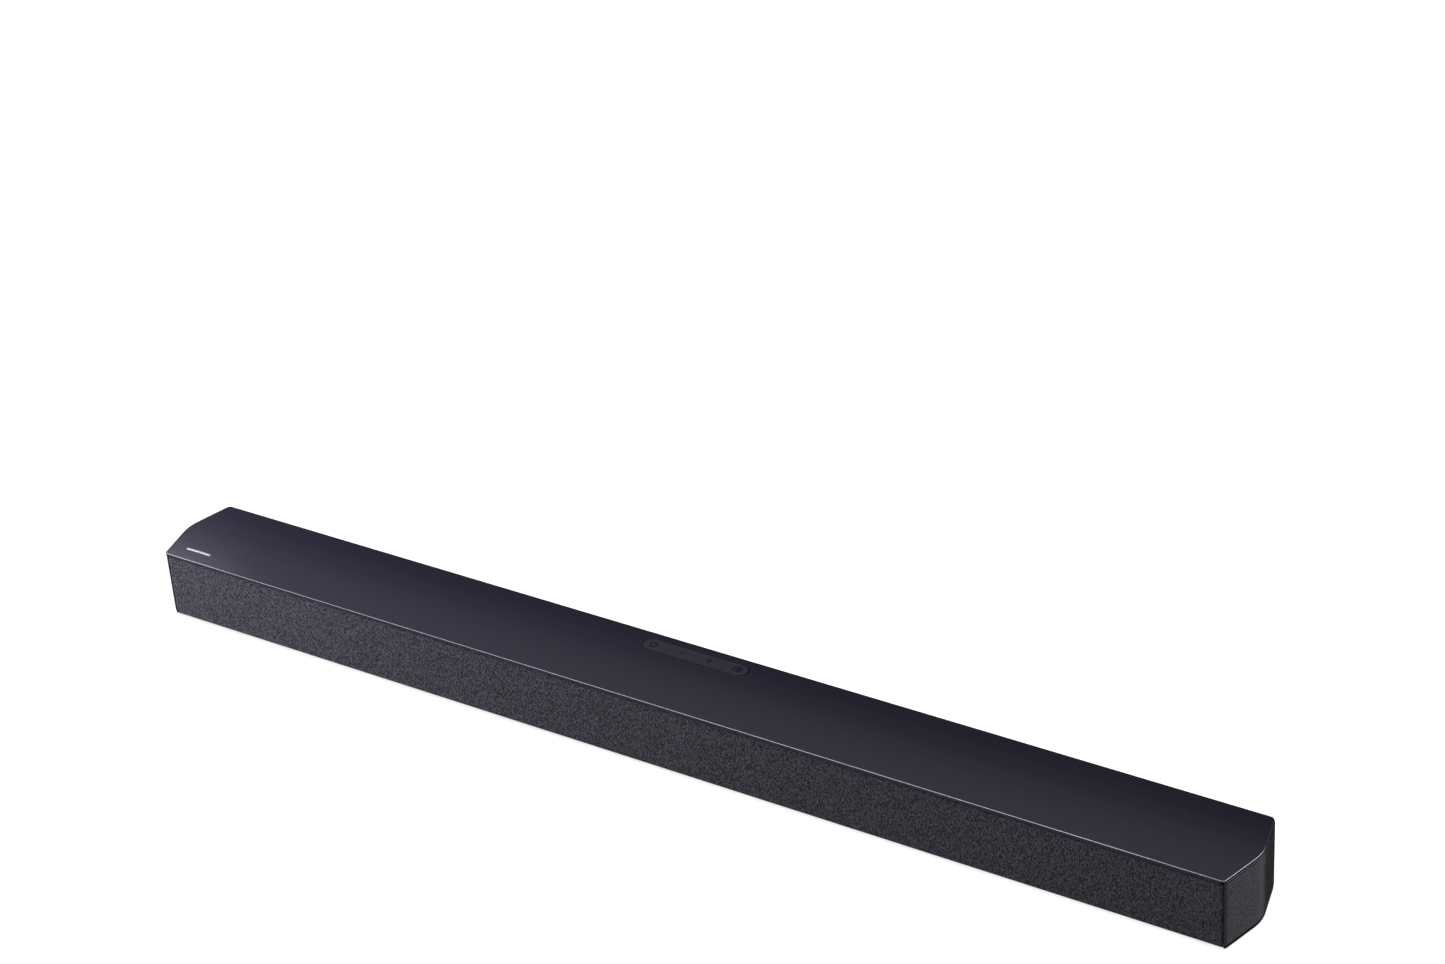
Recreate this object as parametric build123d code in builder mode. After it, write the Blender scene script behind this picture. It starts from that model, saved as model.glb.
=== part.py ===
from build123d import *
import os

# A compact soundbar. X runs along its length, Y from the listener to the wall, Z up.
# The origin is on the surface that it stands on, under the middle of the bar.

os.makedirs("parts", exist_ok=True)

# ---- Driving dimensions, mm ----
LENGTH = 860.0           # over the points of both ends
DEPTH = 74.0             # over the top cover
HEIGHT = 54.0            # from the feet to the top cover
FOOT_HEIGHT = 1.5        # how far the rubber feet stand proud of the floor
COVER_THICKNESS = 2.4
SHADOW_GAP = 0.9         # dark line between cover and grille
LIP_THICKNESS = 1.2      # the cover's edge where it reaches out over the end caps
LIP_INSET = 0.5          # how far that edge stays inside the caps' outline
SKIRT_INSET = 2.8        # the same for the thicker cover behind it
CORNER_X = 422.0         # where the end's flanks meet the front and back planes
BEND_Y = 0.5             # the point of each end
BEND_RADIUS = 35.0
WALL = 2.2

FRONT_Y = -DEPTH / 2
BACK_Y = DEPTH / 2
BODY_BOTTOM = FOOT_HEIGHT
COVER_BOTTOM = HEIGHT - COVER_THICKNESS
GRILLE_TOP = COVER_BOTTOM - SHADOW_GAP
GRILLE_Y = FRONT_Y + 0.9             # front of the grille cloth
CAP_FRONT_Y = FRONT_Y + 0.8
BEND_X = LENGTH / 2 + 1.06           # the sharp point, before its rounding

# ---- Rib stack on the end caps ----
RIB_PITCH = 1.8
RIB_COUNT = 27
RIB_DEPTH = 0.4
RIB_GROOVE = 0.6
RIB_START = BODY_BOTTOM + 2.0
CAP_TOP = HEIGHT - LIP_THICKNESS - 0.4
CAP_EDGE_X = 420.9                   # where a cap's skin starts on the front and the back
GRILLE_END_X = CAP_EDGE_X - 0.8

# ---- Key pad ----
PAD_LENGTH = 83.0
PAD_WIDTH = 12.0
PAD_Y = 23.8
PAD_GAP = 0.5
KEY_PROUD = 0.3
KEY_SPLIT = 0.12
KEY_FLANGE = 1.5                     # how far the lip under the cover reaches out
KEY_FLANGE_THICKNESS = 1.2
KEY_PITCH = 22.5
KEY_TRAVEL = 0.5
BOARD_THICKNESS = 1.6
KEY_BOARD_TOP = 43.6
SWITCH_HEIGHT = 3.5
PLUNGER_RADIUS = 1.70
PLUNGER_TOP = KEY_BOARD_TOP + SWITCH_HEIGHT + 0.8
PLUNGER_LENGTH = 2.2
PLUNGER_FIT = 0.08                   # radial clearance in the switch
KEY_NAMES = ["power", "volume_down", "volume_up", "source"]
KEY_X = [(i - 1.5) * KEY_PITCH for i in range(4)]

# ---- Front baffle and speaker drivers ----
BAFFLE_FRONT = -30.0
BAFFLE_BACK = -27.0
FLOOR_TOP = BODY_BOTTOM + WALL
DRIVER_Z = 27.1
DRIVERS = {"outer_left": -340.0, "inner_left": -280.0, "inner_right": 280.0, "outer_right": 340.0}
FLANGE_SIZE = 44.0
DRIVER_SCREW = 18.2                  # screw offset from the driver's axis, each way
SENSOR_X = 210.0

# ---- Case, connectors and boards ----
CASE_SCREW_XY = [(x, y) for x in (-396, -150, 150, 396) for y in (-20, 29)]
POST_TOP = 44.0
CASE_SCREW_SEAT = 38.0
RECESS_HALF = 75.0
RECESS_TOP = 32.0
RECESS_FACE_Y = 17.0
WINDOW_HALF = 65.0
MAIN_BOARD_BOTTOM = 8.0
MAIN_BOARD_TOP = MAIN_BOARD_BOTTOM + BOARD_THICKNESS
MAIN_BOARD_SCREWS = [(-62, -16), (62, -16), (-62, 8), (62, 8)]
WALL_MOUNT_SPACING = 560.0
WALL_MOUNT_Z = 36.0
INSERT_LENGTH = 8.0
INSERT_BORE = 1.65
FEET_XY = [(x, y) for x in (-350, 350) for y in (-20, 24)]

# ---- Badge ----
BADGE_X = -399.5
BADGE_Y = -24.5
BADGE_LENGTH = 22.0
BADGE_WIDTH = 2.0
BADGE_SEAT = 0.4
BADGE_PROUD = 0.2


def save(piece, name):
    """Label a finished piece and write it to its own file."""
    piece.part.label = name
    export_step(piece.part, f"parts/{name}.step")


def plan(front_y, back_y, inset, front_radius, bend_radius, back_radius):
    """Plan of the bar: a long hexagon whose end flanks are moved in by inset."""
    over = 12.0
    front_slope = (BEND_X - CORNER_X) / (BEND_Y - FRONT_Y)
    back_slope = (BEND_X - CORNER_X) / (BACK_Y - BEND_Y)
    front_x = CORNER_X - over * front_slope
    back_x = CORNER_X - over * back_slope
    with BuildSketch() as outline:
        with BuildLine():
            Polyline(
                (-BEND_X, BEND_Y), (-front_x, FRONT_Y - over), (front_x, FRONT_Y - over),
                (BEND_X, BEND_Y), (back_x, BACK_Y + over), (-back_x, BACK_Y + over), close=True,
            )
        make_face()
        if inset > 0:
            offset(amount=-inset, kind=Kind.INTERSECTION, mode=Mode.REPLACE)
        with Locations((0, (front_y + back_y) / 2)):
            Rectangle(2 * LENGTH, back_y - front_y, mode=Mode.INTERSECT)
        fillet(outline.vertices().group_by(Axis.Y)[0], front_radius)
        fillet(outline.vertices().sort_by(Axis.X)[0], bend_radius)
        fillet(outline.vertices().sort_by(Axis.X)[-1], bend_radius)
        fillet(outline.vertices().group_by(Axis.Y)[-1], back_radius)
    return outline.sketch


def drilled(points, radius, bottom, height, mode=Mode.SUBTRACT):
    """Upright cylinders on a list of plan points."""
    with Locations(*[(x, y, bottom) for x, y in points]):
        Cylinder(radius, height, align=(Align.CENTER, Align.CENTER, Align.MIN), mode=mode)


# ---- Top cover ----
KEY_BOARD_SCREWS = [(-46.5, PAD_Y), (46.5, PAD_Y)]
COVER_POST_RADIUS = 3.5
COVER_SCREW_BORE = 1.5
KEY_POST_RADIUS = 3.0
SMALL_SCREW_BORE = 1.2
with BuildPart() as top_cover:
    with BuildSketch(Plane.XY.offset(HEIGHT - LIP_THICKNESS)):
        add(plan(FRONT_Y, BACK_Y, LIP_INSET, 3.0, BEND_RADIUS - LIP_INSET, 4.0))
    extrude(amount=LIP_THICKNESS)
    fillet(top_cover.faces().sort_by(Axis.Z)[-1].edges(), 0.7)
    with BuildSketch(Plane.XY.offset(COVER_BOTTOM)):
        add(plan(FRONT_Y, BACK_Y, SKIRT_INSET, 1.0, BEND_RADIUS - SKIRT_INSET, 2.0))
    extrude(amount=COVER_THICKNESS - LIP_THICKNESS)
    with BuildSketch(Plane.XY.offset(COVER_BOTTOM)):
        with Locations((0, PAD_Y)):
            SlotOverall(PAD_LENGTH + 2 * PAD_GAP, PAD_WIDTH + 2 * PAD_GAP)
    extrude(amount=COVER_THICKNESS, mode=Mode.SUBTRACT)
    with BuildSketch(Plane.XY.offset(HEIGHT - BADGE_SEAT)):
        with Locations((BADGE_X, BADGE_Y)):
            RectangleRounded(BADGE_LENGTH + 0.4, BADGE_WIDTH + 0.4, 1.0)
    extrude(amount=BADGE_SEAT, mode=Mode.SUBTRACT)
    drilled(CASE_SCREW_XY, COVER_POST_RADIUS, POST_TOP, COVER_BOTTOM - POST_TOP, Mode.ADD)
    drilled(CASE_SCREW_XY, COVER_SCREW_BORE, POST_TOP, 5.6)
    drilled(KEY_BOARD_SCREWS, KEY_POST_RADIUS, KEY_BOARD_TOP, COVER_BOTTOM - KEY_BOARD_TOP, Mode.ADD)
    drilled(KEY_BOARD_SCREWS, SMALL_SCREW_BORE, KEY_BOARD_TOP, 5.0)
save(top_cover, "top_cover")

with BuildPart() as badge:
    with BuildSketch(Plane.XY.offset(HEIGHT - BADGE_SEAT)):
        with Locations((BADGE_X, BADGE_Y)):
            RectangleRounded(BADGE_LENGTH, BADGE_WIDTH, 0.8)
    extrude(amount=BADGE_SEAT + BADGE_PROUD)
    fillet(badge.faces().sort_by(Axis.Z)[-1].edges(), 0.15)
save(badge, "badge")

# ---- End caps: a ribbed skin round each end, with a plain rim under the cover's lip ----
RIM_CHAMFER = 0.45
GROOVE_Z = [RIB_START + i * RIB_PITCH for i in range(RIB_COUNT)]
CLIP_YZ = [(y, z) for y in (-16.0, 17.0) for z in (12.0, 40.0)]
CLIP_REACH = 4.5                     # how far a clip's root stands out from the skin's edge
with BuildPart() as rib_groove:
    with BuildSketch():
        add(plan(CAP_FRONT_Y - 1, BACK_Y + 1, 0, 3.5, BEND_RADIUS, 4.5))
        add(plan(CAP_FRONT_Y + RIB_DEPTH, BACK_Y - RIB_DEPTH, RIB_DEPTH, 3.1, BEND_RADIUS, 4.1),
            mode=Mode.SUBTRACT)
    extrude(amount=RIB_GROOVE)

with BuildPart() as end_cap_right:
    with BuildSketch(Plane.XY.offset(BODY_BOTTOM)):
        add(plan(CAP_FRONT_Y, BACK_Y, 0, 3.5, BEND_RADIUS, 4.5))
        add(plan(CAP_FRONT_Y + WALL, BACK_Y - WALL, WALL, 1.3, BEND_RADIUS - WALL, 2.3),
            mode=Mode.SUBTRACT)
        with Locations((CAP_EDGE_X, 0)):
            Rectangle(100, 2 * DEPTH, align=(Align.MIN, Align.CENTER), mode=Mode.INTERSECT)
    extrude(amount=CAP_TOP - BODY_BOTTOM)
    chamfer(end_cap_right.faces().sort_by(Axis.Z)[-1].edges().filter_by(Axis.Y, reverse=True), RIM_CHAMFER)
    with Locations(*[(0, 0, z) for z in GROOVE_Z]):
        add(rib_groove.part, mode=Mode.SUBTRACT)
    # clips that reach through the cabinet's end wall
    with Locations(*[(CAP_EDGE_X + CLIP_REACH, y, z) for y, z in CLIP_YZ]):
        Box(9.0, 6.0, 2.0, align=(Align.MAX, Align.CENTER, Align.CENTER))
save(end_cap_right, "end_cap_right")

with BuildPart() as end_cap_left:
    mirror(end_cap_right.part, about=Plane.YZ)
save(end_cap_left, "end_cap_left")

# ---- Cabinet: floor, rear wall and end walls, with the connector recess ----
CABINET_FRONT_Y = BAFFLE_FRONT - 0.2
SKIN_INSET = WALL + 0.4
CABINET_TOP = COVER_BOTTOM - 0.5
with BuildPart() as cabinet:
    with BuildSketch(Plane.XY.offset(BODY_BOTTOM)):
        add(plan(CAP_FRONT_Y, BACK_Y, 0, 3.5, BEND_RADIUS, 4.5))
        Rectangle(2 * GRILLE_END_X, 2 * DEPTH, mode=Mode.INTERSECT)
        add(plan(CAP_FRONT_Y + 1, BACK_Y - SKIN_INSET, SKIN_INSET, 1.0, BEND_RADIUS - SKIN_INSET, 2.0))
        with Locations((0, CABINET_FRONT_Y)):
            Rectangle(2 * LENGTH, 2 * DEPTH, align=(Align.CENTER, Align.MIN), mode=Mode.INTERSECT)
    extrude(amount=CABINET_TOP - BODY_BOTTOM)
    inner = SKIN_INSET + WALL
    with BuildSketch(Plane.XY.offset(FLOOR_TOP)):
        add(plan(CAP_FRONT_Y - 5, BACK_Y - WALL, inner, 1.0, BEND_RADIUS - inner, 2.0))
    extrude(amount=HEIGHT, mode=Mode.SUBTRACT)
    chamfer(cabinet.edges().filter_by(Axis.X).group_by(Axis.Z)[0].sort_by(Axis.Y)[-1], 1.0)
    # a rail behind the baffle's lower edge
    with Locations((0, BAFFLE_BACK + 0.15, FLOOR_TOP)):
        Box(780, 1.0, 1.2, align=(Align.CENTER, Align.MIN, Align.MIN))
    # posts for the case screws, sunk from below
    drilled(CASE_SCREW_XY, 4.5, FLOOR_TOP, POST_TOP - FLOOR_TOP, Mode.ADD)
    drilled(CASE_SCREW_XY, 3.2, BODY_BOTTOM, CASE_SCREW_SEAT - BODY_BOTTOM)
    drilled(CASE_SCREW_XY, 1.6, CASE_SCREW_SEAT, POST_TOP - CASE_SCREW_SEAT)
    # posts for the main board
    drilled(MAIN_BOARD_SCREWS, 3.0, FLOOR_TOP, MAIN_BOARD_BOTTOM - FLOOR_TOP, Mode.ADD)
    drilled(MAIN_BOARD_SCREWS, 1.2, FLOOR_TOP, MAIN_BOARD_BOTTOM - FLOOR_TOP)
    # connector recess, open to the back and below
    with Locations((0, RECESS_FACE_Y - WALL, BODY_BOTTOM)):
        Box(2 * (RECESS_HALF + WALL), BACK_Y - RECESS_FACE_Y + WALL, RECESS_TOP + WALL - BODY_BOTTOM,
            align=(Align.CENTER, Align.MIN, Align.MIN))
    with Locations((0, RECESS_FACE_Y, 0)):
        Box(2 * RECESS_HALF, DEPTH, RECESS_TOP, align=(Align.CENTER, Align.MIN, Align.MIN),
            mode=Mode.SUBTRACT)
    with Locations((0, RECESS_FACE_Y - WALL / 2, 6.0)):
        Box(2 * WINDOW_HALF, 3 * WALL, 22.0, align=(Align.CENTER, Align.CENTER, Align.MIN),
            mode=Mode.SUBTRACT)
    # bosses for the wall-mount inserts
    with Locations(*[(x, BACK_Y, WALL_MOUNT_Z) for x in (-WALL_MOUNT_SPACING / 2, WALL_MOUNT_SPACING / 2)]):
        with Locations(Rotation(90, 0, 0)):
            Cylinder(5.0, INSERT_LENGTH + 2, align=(Align.CENTER, Align.CENTER, Align.MIN))
            Cylinder(3.0, INSERT_LENGTH, align=(Align.CENTER, Align.CENTER, Align.MIN),
                     mode=Mode.SUBTRACT)
    # slots for the end caps' clips, and pockets for the feet
    with Locations(*[(s * CAP_EDGE_X, y, z) for s in (-1, 1) for y, z in CLIP_YZ]):
        Box(24.0, 6.6, 2.6, mode=Mode.SUBTRACT)
    with BuildSketch(Plane.XY.offset(BODY_BOTTOM)):
        with Locations(*FEET_XY):
            SlotOverall(36.4, 10.4)
    extrude(amount=0.8, mode=Mode.SUBTRACT)
save(cabinet, "cabinet")

with BuildPart() as rubber_feet:
    with BuildSketch():
        with Locations(*FEET_XY):
            SlotOverall(36, 10)
    extrude(amount=FOOT_HEIGHT + 0.8)
    chamfer(rubber_feet.faces().group_by(Axis.Z)[0].edges(), 0.4)
save(rubber_feet, "rubber_feet")

# ---- Front baffle ----
BAFFLE_HALF = 416.0
BAFFLE_TOP = CABINET_TOP
with BuildPart() as front_baffle:
    with Locations((0, BAFFLE_FRONT, FLOOR_TOP)):
        Box(2 * BAFFLE_HALF, BAFFLE_BACK - BAFFLE_FRONT, BAFFLE_TOP - FLOOR_TOP,
            align=(Align.CENTER, Align.MIN, Align.MIN))
    for x in DRIVERS.values():
        with Locations(Plane((x, BAFFLE_BACK, DRIVER_Z), x_dir=(1, 0, 0), z_dir=(0, 1, 0))):
            Hole(20.5, depth=5)
            with GridLocations(2 * DRIVER_SCREW, 2 * DRIVER_SCREW, 2, 2):
                Hole(1.22, depth=2.4)
    with Locations((SENSOR_X, BAFFLE_BACK, DRIVER_Z)):
        Box(26, 10, 8, mode=Mode.SUBTRACT)
    with Locations(*[(SENSOR_X + s * 17, BAFFLE_BACK, DRIVER_Z) for s in (-1, 1)]):
        with Locations(Rotation(-90, 0, 0)):
            Cylinder(3.0, 2.5, align=(Align.CENTER, Align.CENTER, Align.MIN))
            Cylinder(1.2, 10, mode=Mode.SUBTRACT)
save(front_baffle, "front_baffle")

# ---- Grille: a slotted frame with cloth stretched over it ----
CLOTH = 0.5
FRAME_WALL = 1.6
GRILLE_BOTTOM = BODY_BOTTOM + 0.4
GRILLE_BACK = BAFFLE_FRONT - 0.4
GRILLE_MID_Z = (GRILLE_TOP + GRILLE_BOTTOM) / 2
GRILLE_HEIGHT = GRILLE_TOP - GRILLE_BOTTOM
SLOT_PITCH = 14.5


def grille_block(shrink, edge_radius):
    """The solid outline of the grille, less shrink all round, with a rounded front edge."""
    with BuildPart() as block:
        with Locations((0, GRILLE_Y + shrink, GRILLE_MID_Z)):
            Box(2 * (GRILLE_END_X - shrink), GRILLE_BACK - GRILLE_Y - shrink, GRILLE_HEIGHT - 2 * shrink,
                align=(Align.CENTER, Align.MIN, Align.CENTER))
        fillet(block.faces().sort_by(Axis.Y)[0].edges(), edge_radius)
    return block.part


with BuildPart() as grille_frame:
    add(grille_block(CLOTH, 1.0))
    rim = CLOTH + FRAME_WALL
    with Locations((0, GRILLE_Y + rim, GRILLE_MID_Z)):
        Box(2 * (GRILLE_END_X - rim), DEPTH, GRILLE_HEIGHT - 2 * rim,
            align=(Align.CENTER, Align.MIN, Align.CENTER), mode=Mode.SUBTRACT)
    with Locations((0, GRILLE_Y, GRILLE_MID_Z)):
        with GridLocations(SLOT_PITCH, 0, 56, 1):
            Box(12.0, 8.0, 37.0, mode=Mode.SUBTRACT)
save(grille_frame, "grille_frame")

with BuildPart() as grille_cloth:
    add(grille_block(0, 1.5))
    add(grille_block(CLOTH, 1.0), mode=Mode.SUBTRACT)
save(grille_cloth, "grille_cloth")

# ---- Speaker drivers: turned parts, each about its own axis along Y ----


def turned(x, profile):
    """Revolve a (radius, y) outline about the axis of the driver that stands at x."""
    with BuildPart() as part:
        with BuildSketch(Plane((x, 0, DRIVER_Z), x_dir=(1, 0, 0), z_dir=(0, 0, 1))):
            with BuildLine():
                Polyline(*profile, close=True)
            make_face()
        revolve(axis=Axis((x, 0, DRIVER_Z), (0, 1, 0)))
    return part.part


FLANGE_BACK = BAFFLE_BACK + 1.6
SHELF_Y = -12.2
RING_Y = -11.0
MAGNET_Y = -8.5
YOKE_Y = -2.0
COIL_RADIUS = 7.25
CONE_EDGE_RADIUS = 16.6
CONE_THICKNESS = 0.5
DISH_RADIUS = 24.5
DISH_CENTRE_Y = -20.0 - DISH_RADIUS

for driver, x in DRIVERS.items():
    front = Plane((x, BAFFLE_BACK, DRIVER_Z), x_dir=(1, 0, 0), z_dir=(0, 1, 0))
    with BuildPart() as basket:
        with BuildSketch(front):
            RectangleRounded(FLANGE_SIZE, FLANGE_SIZE, 4)
            Circle(18.4, mode=Mode.SUBTRACT)
            with GridLocations(2 * DRIVER_SCREW, 2 * DRIVER_SCREW, 2, 2):
                Circle(1.5, mode=Mode.SUBTRACT)
        extrude(amount=FLANGE_BACK - BAFFLE_BACK)
        add(turned(x, [
            (18.4, FLANGE_BACK - 0.8), (18.4, FLANGE_BACK), (18.8, FLANGE_BACK + 1.2), (14.2, RING_Y),
            (8.0, RING_Y), (8.0, SHELF_Y), (12.6, SHELF_Y), (17.2, FLANGE_BACK + 0.4),
            (17.6, FLANGE_BACK - 0.8),
        ]))
        with Locations((x, (FLANGE_BACK + SHELF_Y) / 2, DRIVER_Z)):
            Box(14, 7.0, 60, mode=Mode.SUBTRACT)
            Box(60, 7.0, 14, mode=Mode.SUBTRACT)
    save(basket, f"{driver}_basket")

    with BuildPart() as motor:
        add(turned(x, [(7.65, RING_Y), (13.0, RING_Y), (13.0, MAGNET_Y), (7.65, MAGNET_Y)]))
        add(turned(x, [(9.0, MAGNET_Y), (15.0, MAGNET_Y), (15.0, YOKE_Y), (9.0, YOKE_Y)]))
        add(turned(x, [(0, RING_Y), (6.35, RING_Y), (6.35, YOKE_Y), (13.5, YOKE_Y), (13.5, 0.6), (0, 0.6)]))
    save(motor, f"{driver}_motor")

    with BuildPart() as cone:
        with Locations((x, DISH_CENTRE_Y, DRIVER_Z)):
            Sphere(DISH_RADIUS + CONE_THICKNESS)
            Sphere(DISH_RADIUS, mode=Mode.SUBTRACT)
        with BuildSketch(Plane((x, DISH_CENTRE_Y, DRIVER_Z), x_dir=(1, 0, 0), z_dir=(0, 1, 0))):
            Circle(CONE_EDGE_RADIUS)
        extrude(amount=2 * DISH_RADIUS, mode=Mode.INTERSECT)
    save(cone, f"{driver}_cone")

    with BuildPart() as voice_coil:
        add(turned(x, [(6.75, -20.2), (COIL_RADIUS, -20.2), (COIL_RADIUS, -8.0), (6.75, -8.0)]))
    save(voice_coil, f"{driver}_voice_coil")

    with BuildPart() as surround:
        with BuildSketch(Plane((x, 0, DRIVER_Z), x_dir=(1, 0, 0), z_dir=(0, 0, 1))):
            with BuildLine():
                ThreePointArc((16.8, -27.0), (17.9, -28.4), (19.0, -27.4))
                Polyline((19.0, -27.4), (20.2, -27.4), (20.2, -27.0), (18.6, -27.0))
                ThreePointArc((18.6, -27.0), (17.9, -27.9), (17.2, -27.0))
                Line((17.2, -27.0), (16.8, -27.0))
            make_face()
        revolve(axis=Axis((x, 0, DRIVER_Z), (0, 1, 0)))
    save(surround, f"{driver}_surround")

    with BuildPart() as spider:
        add(turned(x, [
            (7.4, -13.6), (8.6, -13.0), (9.8, -13.8), (11.0, -12.9), (12.0, -12.9), (12.0, -12.3),
            (10.9, -12.3), (9.8, -13.2), (8.6, -12.4), (7.4, -13.0),
        ]))
    save(spider, f"{driver}_spider")

with BuildPart() as driver_screws:
    for x in DRIVERS.values():
        with Locations(Plane((x, FLANGE_BACK, DRIVER_Z), x_dir=(1, 0, 0), z_dir=(0, 1, 0))):
            with GridLocations(2 * DRIVER_SCREW, 2 * DRIVER_SCREW, 2, 2):
                Cylinder(2.3, 1.5, align=(Align.CENTER, Align.CENTER, Align.MIN))
                Cylinder(1.2, 3.8, align=(Align.CENTER, Align.CENTER, Align.MAX))
save(driver_screws, "driver_screws")

# ---- Keys, their plungers and the switches under them ----
KEY_BOTTOM = COVER_BOTTOM - 1.5
with BuildPart() as pad:
    with BuildSketch(Plane.XY.offset(KEY_BOTTOM)):
        with Locations((0, PAD_Y)):
            SlotOverall(PAD_LENGTH, PAD_WIDTH)
    extrude(amount=HEIGHT + KEY_PROUD - KEY_BOTTOM)
    fillet(pad.faces().sort_by(Axis.Z)[-1].edges(), 0.25)
    with BuildSketch(Plane.XY.offset(KEY_BOTTOM)):
        with Locations((0, PAD_Y)):
            SlotOverall(PAD_LENGTH + 2 * KEY_FLANGE, PAD_WIDTH + 2 * KEY_FLANGE)
    extrude(amount=KEY_FLANGE_THICKNESS)

for i, key_name in enumerate(KEY_NAMES):
    left = -PAD_LENGTH if i == 0 else (i - 2) * KEY_PITCH + KEY_SPLIT / 2
    right = PAD_LENGTH if i == 3 else (i - 1) * KEY_PITCH - KEY_SPLIT / 2
    with BuildPart() as key:
        add(pad.part)
        with Locations(((left + right) / 2, PAD_Y, HEIGHT)):
            Box(right - left, DEPTH, DEPTH, mode=Mode.INTERSECT)
        with Locations((KEY_X[i], PAD_Y, PLUNGER_TOP)):
            Cylinder(2.0, KEY_BOTTOM - PLUNGER_TOP, align=(Align.CENTER, Align.CENTER, Align.MIN))
    save(key, f"{key_name}_key")

    with BuildPart() as plunger:
        with Locations((KEY_X[i], PAD_Y, PLUNGER_TOP)):
            Cylinder(PLUNGER_RADIUS, PLUNGER_LENGTH, align=(Align.CENTER, Align.CENTER, Align.MAX))
    save(plunger, f"{key_name}_plunger")

with BuildPart() as tact_switches:
    with Locations(*[(x, PAD_Y, KEY_BOARD_TOP) for x in KEY_X]):
        Box(6, 6, SWITCH_HEIGHT, align=(Align.CENTER, Align.CENTER, Align.MIN))
    bore_floor = PLUNGER_TOP - PLUNGER_LENGTH - KEY_TRAVEL - 0.2
    drilled([(x, PAD_Y) for x in KEY_X], PLUNGER_RADIUS + PLUNGER_FIT, bore_floor, SWITCH_HEIGHT)
save(tact_switches, "tact_switches")

with BuildPart() as key_board:
    with BuildSketch(Plane.XY.offset(KEY_BOARD_TOP)):
        with Locations((0, PAD_Y)):
            RectangleRounded(104, 19, 1.5)
        with Locations(*KEY_BOARD_SCREWS):
            Circle(1.4, mode=Mode.SUBTRACT)
    extrude(amount=-BOARD_THICKNESS)
save(key_board, "key_board")

# ---- Connector panel and its sockets ----
PANEL_BACK = RECESS_FACE_Y - WALL
PANEL_FRONT = PANEL_BACK - 1.2
SOCKETS = {"dc_inlet": (-48.0, 9.0, 11.0), "usb_socket": (-18.0, 14.0, 7.2),
           "hdmi_socket": (14.0, 15.0, 6.2), "optical_socket": (46.0, 10.4, 10.4)}
SOCKET_FRONT = 1.0
with BuildPart() as jack_panel:
    with Locations((0, PANEL_FRONT, 4.4)):
        Box(138, PANEL_BACK - PANEL_FRONT, 26, align=(Align.CENTER, Align.MIN, Align.MIN))
    for x, width, height in SOCKETS.values():
        with Locations((x, PANEL_FRONT, MAIN_BOARD_TOP - 0.3)):
            Box(width + 0.6, 10, height + 0.6, align=(Align.CENTER, Align.CENTER, Align.MIN),
                mode=Mode.SUBTRACT)
save(jack_panel, "jack_panel")


def socket_shell(name):
    """The solid block of a socket, standing on the main board and reaching through the panel."""
    x, width, height = SOCKETS[name]
    with BuildPart() as shell:
        with Locations((x, SOCKET_FRONT, MAIN_BOARD_TOP)):
            Box(width, PANEL_BACK + 0.8 - SOCKET_FRONT, height,
                align=(Align.CENTER, Align.MIN, Align.MIN))
    return shell.part


def mouth(name, up):
    """The plane of a socket's mouth, its origin up above the main board."""
    return Plane((SOCKETS[name][0], PANEL_BACK + 0.8, MAIN_BOARD_TOP + up), x_dir=(1, 0, 0),
                 z_dir=(0, 1, 0))


with BuildPart() as dc_inlet:
    add(socket_shell("dc_inlet"))
    with BuildSketch(mouth("dc_inlet", 5.5)):
        Circle(3.2)
        Circle(1.0, mode=Mode.SUBTRACT)
    extrude(amount=-9, mode=Mode.SUBTRACT)
save(dc_inlet, "dc_inlet")

with BuildPart() as usb_socket:
    add(socket_shell("usb_socket"))
    with BuildSketch(mouth("usb_socket", 3.6)):
        Rectangle(12.6, 5.6)
        with Locations((0, 1.0)):
            Rectangle(11.0, 1.8, mode=Mode.SUBTRACT)
    extrude(amount=-10, mode=Mode.SUBTRACT)
save(usb_socket, "usb_socket")

with BuildPart() as hdmi_socket:
    add(socket_shell("hdmi_socket"))
    with BuildSketch(mouth("hdmi_socket", 3.1)):
        with BuildLine():
            Polyline((-7, -2.1), (7, -2.1), (7, 0.8), (5.6, 2.1), (-5.6, 2.1), (-7, 0.8), close=True)
        make_face()
        Rectangle(11, 1.2, mode=Mode.SUBTRACT)
    extrude(amount=-9, mode=Mode.SUBTRACT)
save(hdmi_socket, "hdmi_socket")

with BuildPart() as optical_socket:
    add(socket_shell("optical_socket"))
    with BuildSketch(mouth("optical_socket", 5.2)):
        RectangleRounded(8.2, 8.2, 1.0)
    extrude(amount=-8, mode=Mode.SUBTRACT)
save(optical_socket, "optical_socket")

# ---- Main board with its heatsink and capacitors ----
with BuildPart() as main_board:
    with BuildSketch(Plane.XY.offset(MAIN_BOARD_BOTTOM)):
        with Locations((0, -3.5)):
            RectangleRounded(136, 33, 2)
        with Locations(*MAIN_BOARD_SCREWS):
            Circle(1.4, mode=Mode.SUBTRACT)
    extrude(amount=BOARD_THICKNESS)
    with Locations((-14, -11, MAIN_BOARD_TOP), (26, -8, MAIN_BOARD_TOP)):
        Box(10, 10, 1.2, align=(Align.CENTER, Align.CENTER, Align.MIN))
save(main_board, "main_board")

SINK_BASE = MAIN_BOARD_TOP + 1.2
with BuildPart() as amplifier_heatsink:
    with Locations((-14, -11, SINK_BASE)):
        Box(34, 15, 2, align=(Align.CENTER, Align.CENTER, Align.MIN))
        with GridLocations(4.0, 0, 9, 1):
            Box(1.2, 15, 13, align=(Align.CENTER, Align.CENTER, Align.MIN))
save(amplifier_heatsink, "amplifier_heatsink")

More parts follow.
